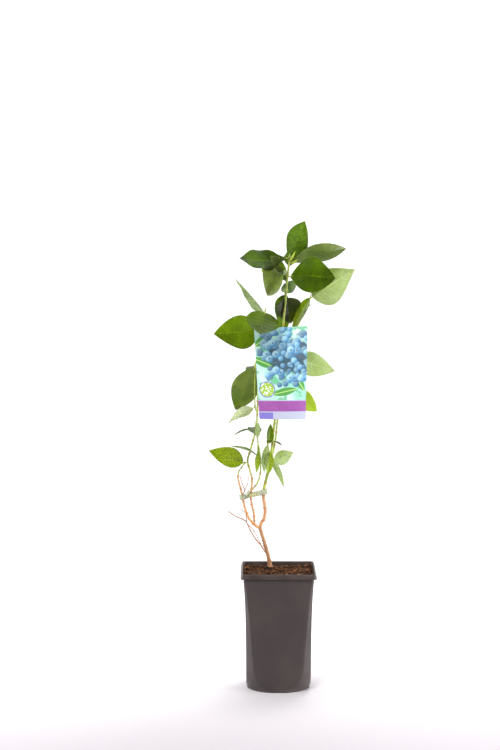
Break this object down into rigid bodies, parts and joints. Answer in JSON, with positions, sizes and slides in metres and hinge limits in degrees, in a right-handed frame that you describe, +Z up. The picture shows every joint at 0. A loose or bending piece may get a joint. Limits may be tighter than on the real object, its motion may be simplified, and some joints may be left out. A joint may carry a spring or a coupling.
{
  "type": "potted blueberry bush",
  "caption": "Young blueberry bush in a deep pot of peat: short leaning trunk, slender boughs with broad pointed leaves, dry twigs, a soft tie band and a plain picture card.",
  "frame": {"origin": "centre of the flat underside of the pot", "axes": "+Z up, +X to the right along the front of the pot, -Y towards the side that the card faces"},
  "size_m": [0.2638, 0.1644, 0.845],
  "materials": {
    "pot_plastic": "dark warm grey thin moulded plastic, softly satin, faintly scuffed",
    "peat": "moist brown peat with crumbs, fibres and bark chips",
    "bark": "smooth orange-brown young bark with fine fissures and buds",
    "green_stem": "green shoots, browner towards the foot, reddish at the nodes",
    "dry_wood": "dead grey-brown twigs",
    "leaf": "smooth green leaves, glossy above, paler and matt below, with veins",
    "tie_felt": "fluffy grey-green hook-and-loop strip",
    "label_card": "printed wipe-clean card, satin"
  },
  "bodies": {
    "root": {"pot": "pot_plastic", "soil": "peat", "trunk": "bark", "bough_left": "bark", "bough_leader": "green_stem", "bough_middle": "green_stem", "bough_right": "green_stem", "bough_centre": "green_stem", "tie_band": "tie_felt", "label_card": "label_card", "dry_twigs_low": "dry_wood", "dry_twigs_high": "dry_wood", "foliage_top": "leaf", "foliage_shoulder": "leaf", "foliage_upper_left": "leaf", "foliage_middle_left": "leaf", "foliage_middle_right": "leaf", "foliage_low_left": "leaf", "foliage_low_centre": "leaf", "foliage_low_right": "leaf"}
  },
  "joints": []
}
